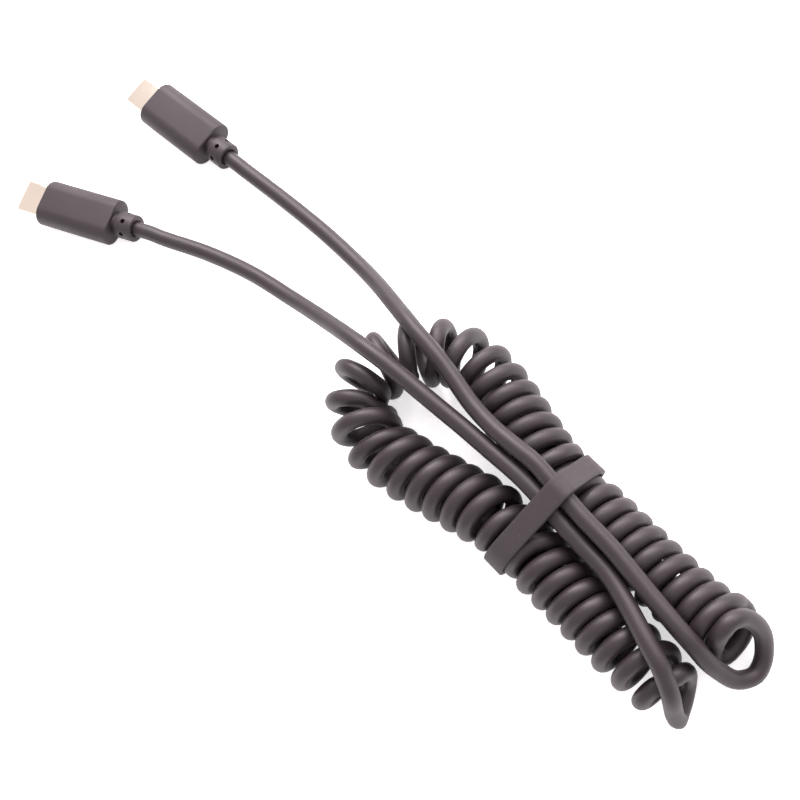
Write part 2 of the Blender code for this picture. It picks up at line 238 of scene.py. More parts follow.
# In the bend every other turn stands higher, because they don't fit side by side on the inside
STAGGER_TURNS = (15, 18, 21, 25, 28)
STAGGER = (0, 1, 1.6, 1.6, 0)
# The first turn stands a little wider, where the lead pulls it open
FIRST_TURN_EXTRA = 0.6


def blend_over_a_turn(values):
    """Each value replaced by the mean over the turn round it, so that the spacing changes gently."""
    half = POINTS_PER_TURN // 2
    padded = np.pad(values, half, mode="reflect", reflect_type="odd")
    return np.convolve(padded, np.ones(2 * half + 1) / (2 * half + 1), mode="valid")


def unit(vectors):
    """The same directions, each one long."""
    return vectors / np.linalg.norm(vectors, axis=1)[:, None]


def winding():
    """The line of all the turns, on a frame of three directions that travels along the coil's axis."""
    flat = smooth_route([(x, y, 0) for x, y in reversed(COIL_ROUTE)], AXIS_SPACING)
    axis = np.column_stack([flat[:, 0], flat[:, 1], coil_height(flat[:, 0])])
    along = length_along(axis)
    turns = np.arange(0, (len(TURN_STATIONS) - 1) * POINTS_PER_TURN + 1) / POINTS_PER_TURN
    station = blend_over_a_turn(np.interp(turns, np.arange(len(TURN_STATIONS)), TURN_STATIONS))
    lean, nod = (np.interp(turns, [row[0] for row in LEAN], [row[i] for row in LEAN]) for i in (1, 2))
    stagger = np.interp(turns, STAGGER_TURNS, STAGGER)
    where = station + lean
    centre = np.stack([np.interp(where, along, axis[:, i]) for i in range(3)], axis=1)
    step = np.gradient(axis, along, axis=0)
    tangent = unit(np.stack([np.interp(where, along, step[:, i]) for i in range(3)], axis=1))
    outward = unit(np.cross(tangent, (0, 0, 1)))
    over = np.cross(outward, tangent)

    angle = 2 * pi * turns
    radius = (coil_diameter(centre[:, 0]) - CORD_DIAMETER) / 2
    # The extra fades out over the first half turn
    radius += FIRST_TURN_EXTRA * np.clip(1 - 2 * turns, 0, 1)
    line = centre + (radius * np.cos(angle))[:, None] * outward + (radius * np.sin(angle))[:, None] * over
    line += (nod * np.sin(angle) - lean * np.cos(angle))[:, None] * tangent
    # Every other turn is raised, but what rests on the floor stays on it
    off_floor = np.clip((line[:, 2] - CORD_DIAMETER / 2) / CORD_DIAMETER, 0, 1)
    line[:, 2] += stagger * np.sin(angle / 2) * off_floor ** 2 * (3 - 2 * off_floor)
    return line


turns_line = winding()
print("turns:", len(TURN_STATIONS) - 1, "points:", len(turns_line))

# %% [markdown]
# ## One line from plug to plug
#
# Each plug gives a place on the floor and the way that it points. The cord starts inside one strain relief,
# leaves it straight along the plug's axis, and passes through all the points above until it ends inside the
# other one. Both leads have the same order of points, so the second half of the list is turned round.

# %% The planned line
# By plug: where the middle of its front face stands, and its heading
PLUGS = {"a": ((-97.9, 5.4), radians(7.9)), "b": ((-98, -29.9), radians(27.4))}
PLUG_HEIGHT = 3.2
RELIEF_END = 25.8
HELD_INSIDE = 1.5
STRAIGHT_EXIT = 3.8
RING_SPACING = 0.9


def plug_axis(letter, past):
    """A point on a plug's axis, this far past the end of its strain relief."""
    (x, y), heading = PLUGS[letter]
    reach = RELIEF_END + past
    return (x + reach * cos(heading), y + reach * sin(heading), PLUG_HEIGHT)


planned_line = smooth_route([
    plug_axis("a", -HELD_INSIDE), plug_axis("a", STRAIGHT_EXIT),
    *LEAD_A_ROUTE, *LOOP_A, *turns_line, *reversed(LOOP_B), *reversed(LEAD_B_ROUTE),
    plug_axis("b", STRAIGHT_EXIT), plug_axis("b", -HELD_INSIDE),
], RING_SPACING)
print("rings along the whole cord:", len(planned_line))

# %% [markdown]
# ## Room between the turns
#
# In the bend the turns crowd, and the planned line would let some of them cut through each other. On the real
# cord they push each other aside. So every pair of rings that lie too close is moved apart by half of what is
# missing, the moves are smoothed along the cord so that it doesn't kink, and the cord stays on the floor.
# That is repeated until nearly all of them have room. Rings closer than one tight bend along the cord belong
# to the same stretch and aren't compared.

# %% Push the turns apart
PUSH_ROUNDS = 40
SAME_BEND = 12
ROOM = CORD_DIAMETER + 0.05
WATCH = 1.5
SMOOTHED_RINGS = 5
# Keeps the mean of the pushes from dividing by nothing where a ring isn't pushed
BARELY = 1e-6


def smooth_along(values):
    """The mean over a few rings either way."""
    kernel = np.ones(SMOOTHED_RINGS) / SMOOTHED_RINGS
    return np.stack([np.convolve(values[:, axis], kernel, mode="same") for axis in range(3)], axis=1)


def push_apart(line):
    """Moves stretches that cut into each other apart, keeps them off the floor, and smooths what moved."""
    pairs = []
    for i in range(len(line) - SAME_BEND):
        gaps = np.linalg.norm(line[i + SAME_BEND:] - line[i], axis=1)
        pairs += [(i, i + SAME_BEND + j) for j in np.nonzero(gaps < ROOM + WATCH)[0]]
    first, second = np.array(pairs).T
    moved = line.copy()
    for _ in range(PUSH_ROUNDS):
        apart = moved[second] - moved[first]
        gaps = np.linalg.norm(apart, axis=1)
        push = np.clip(ROOM - gaps, 0, None)[:, None] * apart / gaps[:, None] / 2
        total, share = np.zeros_like(line), np.full(len(line), BARELY)
        for ends, sign in ((first, -1), (second, 1)):
            np.add.at(total, ends, sign * push)
            np.add.at(share, ends, gaps < ROOM)
        moved += smooth_along(total / share[:, None])
        moved[:, 2] = np.maximum(moved[:, 2], CORD_DIAMETER / 2)
    return moved


cord_line = push_apart(planned_line)

# %% [markdown]
# ## Measuring the room
#
# Turns that touch stand one cord thickness apart, from middle to middle. The closest pass shows how near the
# line comes to that, and the lowest point has to be half a cord thickness above the floor.

# %% Measure the room
def closest_pass(line):
    """The smallest distance between two stretches of the line, and where it is."""
    nearest = (99, 0)
    for i in range(len(line) - SAME_BEND):
        nearest = min(nearest, (float(np.linalg.norm(line[i + SAME_BEND:] - line[i], axis=1).min()), i))
    return nearest


gap, ring = closest_pass(cord_line)
print("closest pass, centre to centre:", round(gap, 2), "at", np.round(cord_line[ring], 1))
print("lowest point of the line:", round(float(cord_line[:, 2].min()), 2))

# %% [markdown]
# ## The cord as a tube
#
# A curve object with a round bevel makes an even tube, and turning it into a mesh keeps its rings. Twenty
# sides look round up close. The curve also leaves a UV map that follows the cord.

# %% Cord tube
# Sides of the tube are four, and two more for each step of this
TUBE_RESOLUTION = 8


def only(obj):
    """Deselects everything, and makes this object the selected and active one."""
    if bpy.context.mode != "OBJECT":
        bpy.ops.object.mode_set(mode="OBJECT")
    bpy.ops.object.select_all(action="DESELECT")
    obj.select_set(True)
    bpy.context.view_layer.objects.active = obj


def smooth_shade(angle):
    """Smooth shading, with edges sharper than this angle in degrees kept sharp."""
    bpy.ops.object.shade_smooth_by_angle(angle=radians(angle))


def tube(name, points, diameter):
    """A round tube with closed ends along points of the layout, as a mesh."""
    curve = bpy.data.curves.new(name, "CURVE")
    curve.dimensions = "3D"
    curve.bevel_depth = diameter * MM / 2
    curve.bevel_resolution = TUBE_RESOLUTION
    curve.use_fill_caps = True
    spline = curve.splines.new("POLY")
    spline.points.add(len(points) - 1)
    for spline_point, co in zip(spline.points, in_frame(points)):
        spline_point.co = (*co, 1)
    obj = bpy.data.objects.new(name, curve)
    bpy.context.scene.collection.objects.link(obj)
    only(obj)
    bpy.ops.object.convert(target="MESH")
    smooth_shade(50)
    return bpy.context.view_layer.objects.active


cord = tube("cord", cord_line, CORD_DIAMETER)
print("cord faces:", len(cord.data.polygons), "uv maps:", [layer.name for layer in cord.data.uv_layers])

# %% [markdown]
# ## Modelling helpers
#
# Every new solid starts as a primitive and is shaped in edit mode. These helpers choose faces and edges by
# their place or direction, which is what a hand would do with a mouse.

# %% Choosing and finishing
# In metres: points closer than this are one point
SAME_POINT = 1e-6


def pick(obj, kind, test):
    """In edit mode, selects only the faces or edges that pass the test, and counts them."""
    bpy.ops.mesh.select_mode(type=kind)
    bpy.ops.mesh.select_all(action="DESELECT")
    bpy.ops.object.mode_set(mode="OBJECT")
    mesh = obj.data
    items = {"FACE": mesh.polygons, "EDGE": mesh.edges}[kind]
    count = 0
    for item in items:
        item.select = bool(test(item))
        count += item.select
    bpy.ops.object.mode_set(mode="EDIT")
    return count


def edge_ends(obj, edge):
    """The places of an edge's two ends."""
    return [obj.data.vertices[index].co for index in edge.vertices]


def finish_mesh(angle=40):
    """Leaves edit mode with doubles merged, faces turned outwards and the shading set."""
    bpy.ops.mesh.select_all(action="SELECT")
    bpy.ops.mesh.remove_doubles(threshold=SAME_POINT)
    bpy.ops.mesh.normals_make_consistent(inside=False)
    bpy.ops.object.mode_set(mode="OBJECT")
    smooth_shade(angle)


def apply_all(obj):
    """Applies the object's modifiers in their order."""
    only(obj)
    for modifier in list(obj.modifiers):
        bpy.ops.object.modifier_apply(modifier=modifier.name)


def carve(obj, cutter):
    """Takes the cutter out of the piece, and removes the cutter."""
    modifier = obj.modifiers.new("carve", "BOOLEAN")
    modifier.operation = "DIFFERENCE"
    modifier.solver = "EXACT"
    modifier.object = cutter
    apply_all(obj)
    bpy.data.objects.remove(cutter, do_unlink=True)


print("helpers:", [helper.__name__ for helper in (pick, edge_ends, finish_mesh, apply_all, carve)])

# %% [markdown]
# ## A block with round sides
#
# The sides of such plugs are full half rounds, and they fit in either way up. A cube whose four long edges
# are bevelled by half its height gives that shape for the grip, the pocket in it and the shell.

# %% Block with round sides
# Just short of half the height, so that the two roundings of a side meet without crossing
ROUND_SHARE = 0.999
# In metres: closes the narrow strip that stays between them
MEETING_GAP = 2e-5


def stadium_block(name, width, height, start, end, segments):
    """A block with full round sides along X, from a cube whose four long edges are rounded."""
    bpy.ops.object.select_all(action="DESELECT")
    bpy.ops.mesh.primitive_cube_add(
        size=1, location=((start + end) / 2 * MM, 0, 0),
        scale=((end - start) * MM, width * MM, height * MM))
    obj = bpy.context.object
    obj.name = obj.data.name = name
    bpy.ops.object.transform_apply(location=True, rotation=True, scale=True)
    bpy.ops.object.mode_set(mode="EDIT")

    def along_x(edge):
        a, b = edge_ends(obj, edge)
        return abs(a.x - b.x) > (end - start) * MM / 2

    pick(obj, "EDGE", along_x)
    bpy.ops.mesh.bevel(
        offset=height * MM / 2 * ROUND_SHARE, offset_type="OFFSET", segments=segments, affect="EDGES")
    bpy.ops.mesh.select_all(action="SELECT")
    bpy.ops.mesh.remove_doubles(threshold=MEETING_GAP)
    return obj


print("helper:", stadium_block.__name__)

# %% [markdown]
# ## The grips
#
# Each plug's grip is moulded round the shell's root in a two-part tool. So it is a block with full round
# sides, its rims are slightly rounded, and a hair-fine groove runs round it at half height where the two
# halves of the tool met. The pocket in its front face leaves the gap that shows round the metal shell.

# %% Grip
BODY_WIDTH = 11.1
BODY_HEIGHT = 6.4
BODY_LENGTH = 20.1
BODY_EDGE = 0.45
SEAM_HALF_WIDTH = 0.045
SEAM_DEPTH = 0.05
# Points this close to an end belong to it, and the groove sinks into the end face there too
END_ZONE = 0.15
SHELL_WIDTH = 8.25
SHELL_HEIGHT = 2.4
SHELL_ROOT = 2
POCKET_GAP = 0.1
POCKET_OVERSHOOT = 0.3


def at_an_end(obj, edge):
    """Whether an edge lies in one of the grip's two end faces."""
    a, b = edge_ends(obj, edge)
    flat = abs(a.x - b.x) < SAME_POINT
    return flat and (a.x < SAME_POINT or a.x > BODY_LENGTH * MM - SAME_POINT)


def cut_seam(grip):
    """Three cuts round the grip, of which the middle one is then sunk. Returns how many points it has."""
    for height in (SEAM_HALF_WIDTH, 0, -SEAM_HALF_WIDTH):
        bpy.ops.mesh.select_all(action="SELECT")
        bpy.ops.mesh.bisect(plane_co=(0, 0, height * MM), plane_no=(0, 0, 1))
    bpy.ops.object.mode_set(mode="OBJECT")
    seam = [vertex for vertex in grip.data.vertices if abs(vertex.co.z) < SAME_POINT / 10]
    for vertex in seam:
        away = vertex.co - Vector((BODY_LENGTH / 2, 0, 0)) * MM
        ends = np.sign(away.x) * (abs(away.x) > (BODY_LENGTH / 2 - END_ZONE) * MM)
        vertex.co -= SEAM_DEPTH * MM * Vector((ends, np.sign(away.y), 0))
    bpy.ops.object.mode_set(mode="EDIT")
    return len(seam)


def make_grip():
    """The grip, lying along X with its front face at zero."""
    grip = stadium_block("grip", BODY_WIDTH, BODY_HEIGHT, 0, BODY_LENGTH, segments=16)
    pick(grip, "EDGE", lambda edge: at_an_end(grip, edge))
    bpy.ops.mesh.bevel(offset=BODY_EDGE * MM, offset_type="OFFSET", segments=4, profile=0.5, affect="EDGES")
    print("grip seam points:", cut_seam(grip))
    finish_mesh(30)
    pocket = stadium_block(
        "pocket", SHELL_WIDTH + 2 * POCKET_GAP, SHELL_HEIGHT + 2 * POCKET_GAP, -POCKET_OVERSHOOT, SHELL_ROOT,
        segments=10)
    finish_mesh()
    carve(grip, pocket)
    smooth_shade(30)
    return grip


grip_model = make_grip()
print("grip faces:", len(grip_model.data.polygons))

# %% [markdown]
# ## The strain reliefs
#
# Behind each grip a short thin neck carries a round collar of softer plastic, so that the cord doesn't break
# where it leaves the hard plug. It is a turned shape: a disc is extruded along the plug, and each new end is
# resized, as on a lathe. Its end face dips in round the cord. Six small holes round the collar let it flex.

# %% Strain relief
COLLAR_RADIUS = 3.15
# Places along the plug and radii: neck, step, collar, rounded end, and the dip round the cord
RELIEF_PROFILE = (
    (20.2, 2.5), (21.25, 2.5), (21.4, 2.62), (21.4, 2.8), (21.5, 3.03), (21.75, COLLAR_RADIUS),
    (23.5, COLLAR_RADIUS), (25.5, COLLAR_RADIUS), (25.72, 3.06), (25.8, 2.86), (25.8, 2.15),
    (25.65, 1.95), (24.2, 1.85),
)
HOLE_DIAMETER = 1.15
HOLE_DEPTH = 1.1
HOLE_OVERSHOOT = 0.6
HOLE_X = 23.5
HOLE_COUNT = 6


def turned_relief():
    """A disc, extruded along the profile and resized at each step."""
    first_x, first_radius = RELIEF_PROFILE[0]
    bpy.ops.object.select_all(action="DESELECT")
    bpy.ops.mesh.primitive_circle_add(
        vertices=64, radius=first_radius * MM, fill_type="NGON", location=(first_x * MM, 0, 0),
        rotation=(0, pi / 2, 0))
    relief = bpy.context.object
    relief.name = relief.data.name = "relief"
    bpy.ops.object.transform_apply(location=True, rotation=True, scale=True)
    bpy.ops.object.mode_set(mode="EDIT")
    bpy.ops.mesh.select_all(action="SELECT")
    for (x0, r0), (x1, r1) in zip(RELIEF_PROFILE, RELIEF_PROFILE[1:]):
        bpy.ops.mesh.extrude_region_move(TRANSFORM_OT_translate={"value": ((x1 - x0) * MM, 0, 0)})
        share = r1 / r0
        bpy.ops.transform.resize(value=(1, share, share), center_override=(x1 * MM, 0, 0))
    finish_mesh()
    return relief


def hole_cutters():
    """Six round pegs that stand in the collar like spokes, joined into one cutter."""
    length = HOLE_DEPTH + HOLE_OVERSHOOT
    reach = COLLAR_RADIUS - HOLE_DEPTH + length / 2
    cutters = []
    for index in range(HOLE_COUNT):
        angle = 2 * pi * index / HOLE_COUNT
        bpy.ops.mesh.primitive_cylinder_add(
            vertices=24, radius=HOLE_DIAMETER * MM / 2, depth=length * MM,
            location=(HOLE_X * MM, -sin(angle) * reach * MM, cos(angle) * reach * MM), rotation=(angle, 0, 0))
        cutters.append(bpy.context.object)
    bpy.ops.object.select_all(action="DESELECT")
    for cutter in cutters:
        cutter.select_set(True)
    bpy.context.view_layer.objects.active = cutters[0]
    bpy.ops.object.join()
    return bpy.context.object


relief_model = turned_relief()
carve(relief_model, hole_cutters())
smooth_shade(40)
print("relief faces:", len(relief_model.data.polygons), "holes:", HOLE_COUNT)

# %% [markdown]
# ## The metal shells
#
# The shell of such a plug is drawn from one piece of sheet metal, so it has no seam and its mouth is rolled
# smooth. A block with round sides is hollowed by deleting its two ends and giving the skin a wall, and the
# rims at the mouth are rounded. Each rim is found as an edge at the mouth whose two faces meet at a corner.

# %% Metal shell
SHELL_REACH = 6.65
SHELL_WALL = 0.35
# The root ends this short of the pocket's floor
SHELL_SHORT = 0.1
LIP_ROUNDING = 0.12
# Edges nearer to the mouth than this belong to it
MOUTH_ZONE = 0.01


def hollow_block():
    """The skin of the block without its ends, given a wall."""
    shell = stadium_block(
        "shell", SHELL_WIDTH, SHELL_HEIGHT, -SHELL_REACH, SHELL_ROOT - SHELL_SHORT, segments=12)
    pick(shell, "FACE", lambda face: abs(face.normal.x) > 0.9)
    bpy.ops.mesh.delete(type="ONLY_FACE")
    finish_mesh()
    wall = shell.modifiers.new("wall", "SOLIDIFY")
    wall.thickness = SHELL_WALL * MM
    wall.offset = -1
    wall.use_even_offset = True
    apply_all(shell)
    return shell


def round_lip(shell):
    """Rounds both rims at the mouth."""
    normals = {}
    for face in shell.data.polygons:
        for key in face.edge_keys:
            normals.setdefault(key, []).append(face.normal.copy())

    def lip(edge):
        a, b = edge_ends(shell, edge)
        beside = normals.get(tuple(sorted(edge.vertices)), [])
        at_mouth = max(a.x, b.x) < (-SHELL_REACH + MOUTH_ZONE) * MM
        return at_mouth and len(beside) == 2 and beside[0].dot(beside[1]) < 0.5

    bpy.ops.object.mode_set(mode="EDIT")
    print("shell lip edges:", pick(shell, "EDGE", lip))
    bpy.ops.mesh.bevel(
        offset=LIP_ROUNDING * MM, offset_type="OFFSET", segments=4, profile=0.5, affect="EDGES")
    finish_mesh()


shell_model = hollow_block()
round_lip(shell_model)
print("shell faces:", len(shell_model.data.polygons))

# %% [markdown]
# ## Placing the plugs
#
# Both plugs are the same mould, so each piece was modelled once, lying along X with its front face at zero.
# It is copied with its own mesh, turned and moved to where the plug lies, and the place is then applied, so
# that the finished piece sits at the origin as a solid's node does.

# %% Place the plug pieces
def set_down(model, name, letter):
    """A copy of the model with its own mesh, at a plug's place and heading, with that place applied."""
    place, heading = PLUGS[letter]
    piece = model.copy()
    piece.data = model.data.copy()
    piece.name = piece.data.name = name
    bpy.context.scene.collection.objects.link(piece)
    spot = (Vector((*place, PLUG_HEIGHT)) - LAYOUT_MIDDLE) * MM
    piece.matrix_world = Matrix.Translation(spot) @ Matrix.Rotation(heading, 4, "Z")
    only(piece)
    bpy.ops.object.transform_apply(location=True, rotation=True, scale=True)
    return piece


plug_pieces = {}
for letter in "ab":
    for model, word, solid in (
            (grip_model, "grip", "plug_body"), (relief_model, "relief", "strain_relief"),
            (shell_model, "shell", "plug_shell")):
        piece = set_down(model, word + "_" + letter, letter)
        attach(piece, "root")
        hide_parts(solid + "_" + letter)
        plug_pieces[piece.name] = piece
for model in (grip_model, relief_model, shell_model):
    bpy.data.objects.remove(model, do_unlink=True)
print("plug pieces:", sorted(plug_pieces))

# %% [markdown]
# ## The tie
#
# A flat band of rubber is pulled round both legs and both leads. It bends only over what it touches and runs
# straight in between, so its outline is the tight hull of four circles. A circle primitive with many points
# is moved onto that hull, extruded to the band's width, given its thickness, and its long edges are rounded.
# The leads drag the band's top along with them, so it leans a little, and it doesn't run quite square.

# %% The tie's outline
TIE_THICKNESS = 1
TIE_CLEARANCE = 0.3
TIE_SIDES = 168
# Y of the middles of the coil's two legs, where the tie is
LEG_MIDDLES = (-1.35, 12.28)


def line_at(points, x):
    """Where a lead passes X, as Y and Z."""
    line = smooth_route(points, 1)
    for (x1, y1, z1), (x2, y2, z2) in zip(line, line[1:]):
        if (x1 - x) * (x2 - x) <= 0 and x1 != x2:
            share = (x - x1) / (x2 - x1)
            return (y1 + share * (y2 - y1), z1 + share * (z2 - z1))


def tie_hull(extra):
    """The outline of the band at this distance from the coil's legs and the leads."""
    leg_height, leg_radius = float(coil_height(TIE_X)), float(coil_diameter(TIE_X)) / 2
    circles = [(y, leg_height, leg_radius) for y in LEG_MIDDLES]
    circles += [(*line_at(points, TIE_X), CORD_DIAMETER / 2) for points in (LEAD_A_ROUTE, LEAD_B_ROUTE)]
    outline = []
    for index in range(TIE_SIDES):
        angle = 2 * pi * index / TIE_SIDES
        y, z = cos(angle), sin(angle)
        best = max(circles, key=lambda circle: circle[0] * y + circle[1] * z + circle[2])
        outline.append((best[0] + y * (best[2] + extra), best[1] + z * (best[2] + extra)))
    return outline


tie_outline = tie_hull(TIE_CLEARANCE + TIE_THICKNESS / 2)
print("tie outline reaches up to", round(max(z for _, z in tie_outline), 2), "mm")

# %% [markdown]
# ## The tie's band
#
# The points of the circle move onto the outline, the middle of the band's thickness. Extruding in
# six steps keeps the faces near square, and the wall grows to both sides of the outline.

# %% Tie
TIE_WIDTH = 4.6
TIE_STEPS = 6
TIE_TURN = radians(2)
# It leans by this share of the height above or below its middle
TIE_LEAN = 0.1
TIE_MIDDLE_HEIGHT = 11
TIE_ROUNDING = 0.22
CIRCLE_START = 10


def make_tie():
    """The band with its thickness and rounded edges, at its place."""
    bpy.ops.object.select_all(action="DESELECT")
    bpy.ops.mesh.primitive_circle_add(vertices=TIE_SIDES, radius=CIRCLE_START * MM, fill_type="NOTHING")
    tie = bpy.context.object
    tie.name = tie.data.name = "tie"
    middle = sum(LEG_MIDDLES) / 2
    for vertex, (y, z) in zip(tie.data.vertices, tie_outline):
        vertex.co = Vector((-TIE_WIDTH / 2 + TIE_LEAN * (z - TIE_MIDDLE_HEIGHT), y - middle, z)) * MM
    bpy.ops.object.mode_set(mode="EDIT")
    bpy.ops.mesh.select_all(action="SELECT")
    for _ in range(TIE_STEPS):
        bpy.ops.mesh.extrude_region_move(
            TRANSFORM_OT_translate={"value": (TIE_WIDTH / TIE_STEPS * MM, 0, 0)})
    finish_mesh(60)
    wall = tie.modifiers.new("wall", "SOLIDIFY")
    wall.thickness = TIE_THICKNESS * MM
    wall.offset = 0
    wall.use_even_offset = True
    rounding = tie.modifiers.new("rounding", "BEVEL")
    rounding.width = TIE_ROUNDING * MM
    rounding.segments = 3
    rounding.limit_method = "ANGLE"
    rounding.angle_limit = radians(50)
    apply_all(tie)
    spot = (Vector((TIE_X, middle, 0)) - LAYOUT_MIDDLE) * MM
    tie.matrix_world = Matrix.Translation(spot) @ Matrix.Rotation(TIE_TURN, 4, "Z")
    bpy.ops.object.transform_apply(location=True, rotation=True, scale=True)
    smooth_shade(40)
    return tie


tie = make_tie()
print("tie faces:", len(tie.data.polygons))

# %% [markdown]
# ## Shared surface effects
#
# Soft black plastics look flat when their colour and gloss are even. Three effects are shared here as node
# groups: a moulded grain that gives a height, a handling mask that varies gloss and colour slowly, and an
# edge mask from the difference between the rounded and the true normal. Each material sets its own scales.

# %% Node helpers
def new_group(name, inputs, outputs):
    """An empty node group with numbers as its inputs and outputs."""
    group = bpy.data.node_groups.new(name, "ShaderNodeTree")
    for label, value in inputs:
        socket = group.interface.new_socket(label, in_out="INPUT", socket_type="NodeSocketFloat")
        socket.default_value = value
    for label in outputs:
        group.interface.new_socket(label, in_out="OUTPUT", socket_type="NodeSocketFloat")
    return group, group.nodes.new("NodeGroupInput"), group.nodes.new("NodeGroupOutput")


def node(tree, kind, **settings):
    """A new node with its settings."""
    made = tree.nodes.new(kind)
    for key, value in settings.items():
        setattr(made, key, value)
    return made


def noise(group, coords, scale, detail):
    """A noise pattern fixed to the object, whose scale comes from the given socket."""
    made = node(group, "ShaderNodeTexNoise")
    made.inputs["Detail"].default_value = detail
    group.links.new(coords.outputs["Object"], made.inputs["Vector"])
    group.links.new(scale, made.inputs["Scale"])
    return made.outputs["Fac"]


print("helpers:", [helper.__name__ for helper in (new_group, node, noise)])

# %% [markdown]
# ## Moulded grain
#
# The steel of a mould leaves a fine grain on plastic, and a moulded face is never quite flat. Two noise
# patterns are mixed to one height: the fine one is the grain, and the coarse one the slow waves under it.

# %% Moulded grain
def grain_group():
    """A height: fine grain, with a share of longer waves."""
    group, entry, leave = new_group(
        "moulded grain", (("Grain Scale", 6000), ("Wave Scale", 300), ("Wave Share", 0.5)), ("Height",))
    links = group.links
    coords = node(group, "ShaderNodeTexCoord")
    mix = node(group, "ShaderNodeMix", data_type="FLOAT")
    links.new(entry.outputs["Wave Share"], mix.inputs["Factor"])
    links.new(noise(group, coords, entry.outputs["Grain Scale"], 3), mix.inputs["A"])
    links.new(noise(group, coords, entry.outputs["Wave Scale"], 1), mix.inputs["B"])
    links.new(mix.outputs["Result"], leave.inputs["Height"])
    return group


GRAIN = grain_group()
print("group:", GRAIN.name)

# %% [markdown]
# ## Handling marks
#
# Fingers polish some places and leave others dull, and dust clings in specks. Slow noise gives the patches.
# For the specks only the peaks of a fine noise are kept, which scatters them instead of veiling the surface.

# %% Handling marks
# Only the peaks of the fine noise, between these two values, become specks
SPECK_FROM = 0.62
SPECK_FULL = 0.74


def handling_group():
    """Two masks: slow patches from handling, and fine specks of dust."""
    group, entry, leave = new_group(
        "handling marks", (("Patch Scale", 120), ("Speck Scale", 2500), ("Speck Amount", 0.3)),
        ("Patches", "Dust"))
    links = group.links
    coords = node(group, "ShaderNodeTexCoord")
    links.new(noise(group, coords, entry.outputs["Patch Scale"], 4), leave.inputs["Patches"])
    sharpen = node(group, "ShaderNodeMapRange")
    sharpen.inputs["From Min"].default_value = SPECK_FROM
    sharpen.inputs["From Max"].default_value = SPECK_FULL
    links.new(noise(group, coords, entry.outputs["Speck Scale"], 2), sharpen.inputs["Value"])
    amount = node(group, "ShaderNodeMath", operation="MULTIPLY")
    links.new(sharpen.outputs["Result"], amount.inputs[0])
    links.new(entry.outputs["Speck Amount"], amount.inputs[1])
    links.new(amount.outputs["Value"], leave.inputs["Dust"])
    return group


HANDLING = handling_group()
print("group:", HANDLING.name)

# %% [markdown]
# ## Edge wear
#
# Edges are touched most and catch the light first. The bevel node rounds the normal near an edge without
# changing the mesh, so its difference from the true normal shows where the edges are.

# %% Edge wear
def edge_group():
    """A mask that is bright where the rounded normal differs from the true one, which is along edges."""
    group, entry, leave = new_group("edge wear", (("Radius", 0.0003), ("Strength", 3)), ("Edge",))
    links = group.links
    rounded = node(group, "ShaderNodeBevel", samples=6)
    links.new(entry.outputs["Radius"], rounded.inputs["Radius"])
    geometry = node(group, "ShaderNodeNewGeometry")
    dot = node(group, "ShaderNodeVectorMath", operation="DOT_PRODUCT")
    links.new(rounded.outputs["Normal"], dot.inputs[0])
    links.new(geometry.outputs["Normal"], dot.inputs[1])
    gone = node(group, "ShaderNodeMath", operation="SUBTRACT")
    gone.inputs[0].default_value = 1
    links.new(dot.outputs["Value"], gone.inputs[1])
    strong = node(group, "ShaderNodeMath", operation="MULTIPLY", use_clamp=True)
    links.new(gone.outputs["Value"], strong.inputs[0])
    links.new(entry.outputs["Strength"], strong.inputs[1])
    links.new(strong.outputs["Value"], leave.inputs["Edge"])
    return group


EDGE = edge_group()
print("node groups:", [group.name for group in bpy.data.node_groups])

# %% [markdown]
# ## The finishes
#
# The cord's jacket is a satin thermoplastic, the grips are a matt plastic with a fine spark-eroded grain, the
# tie is dull rubber with a little chalk on it, and the shells are nickel plated. Each finish mixes two close
# colours by the handling patches, lightens its worn edges a little, and varies its roughness.

# %% How a finish is built
# Places of the colour sockets on a Mix node, which has sockets of the same name for each kind of data
COLOUR_A, COLOUR_B, COLOUR_OUT = 6, 7, 2
# The range of the patches that the roughness follows
PATCH_LOW, PATCH_HIGH = 0.3, 0.7
# In metres
GRAIN_DEPTH = 0.00005


def place_group(tree, group, values):
    """A node group in a material, with this material's own values."""
    placed = tree.nodes.new("ShaderNodeGroup")
    placed.node_tree = group
    for label, value in values.items():
        placed.inputs[label].default_value = value
    return placed


def colour_mix(tree, first, second, factor):
    """A mix of two colours by a mask. The first is a colour or a socket."""
    mix = node(tree, "ShaderNodeMix", data_type="RGBA")
    if isinstance(first, tuple):
        mix.inputs[COLOUR_A].default_value = (*first, 1)
    else:
        tree.links.new(first, mix.inputs[COLOUR_A])
    mix.inputs[COLOUR_B].default_value = (*second, 1)
    tree.links.new(factor, mix.inputs["Factor"])
    return mix.outputs[COLOUR_OUT]


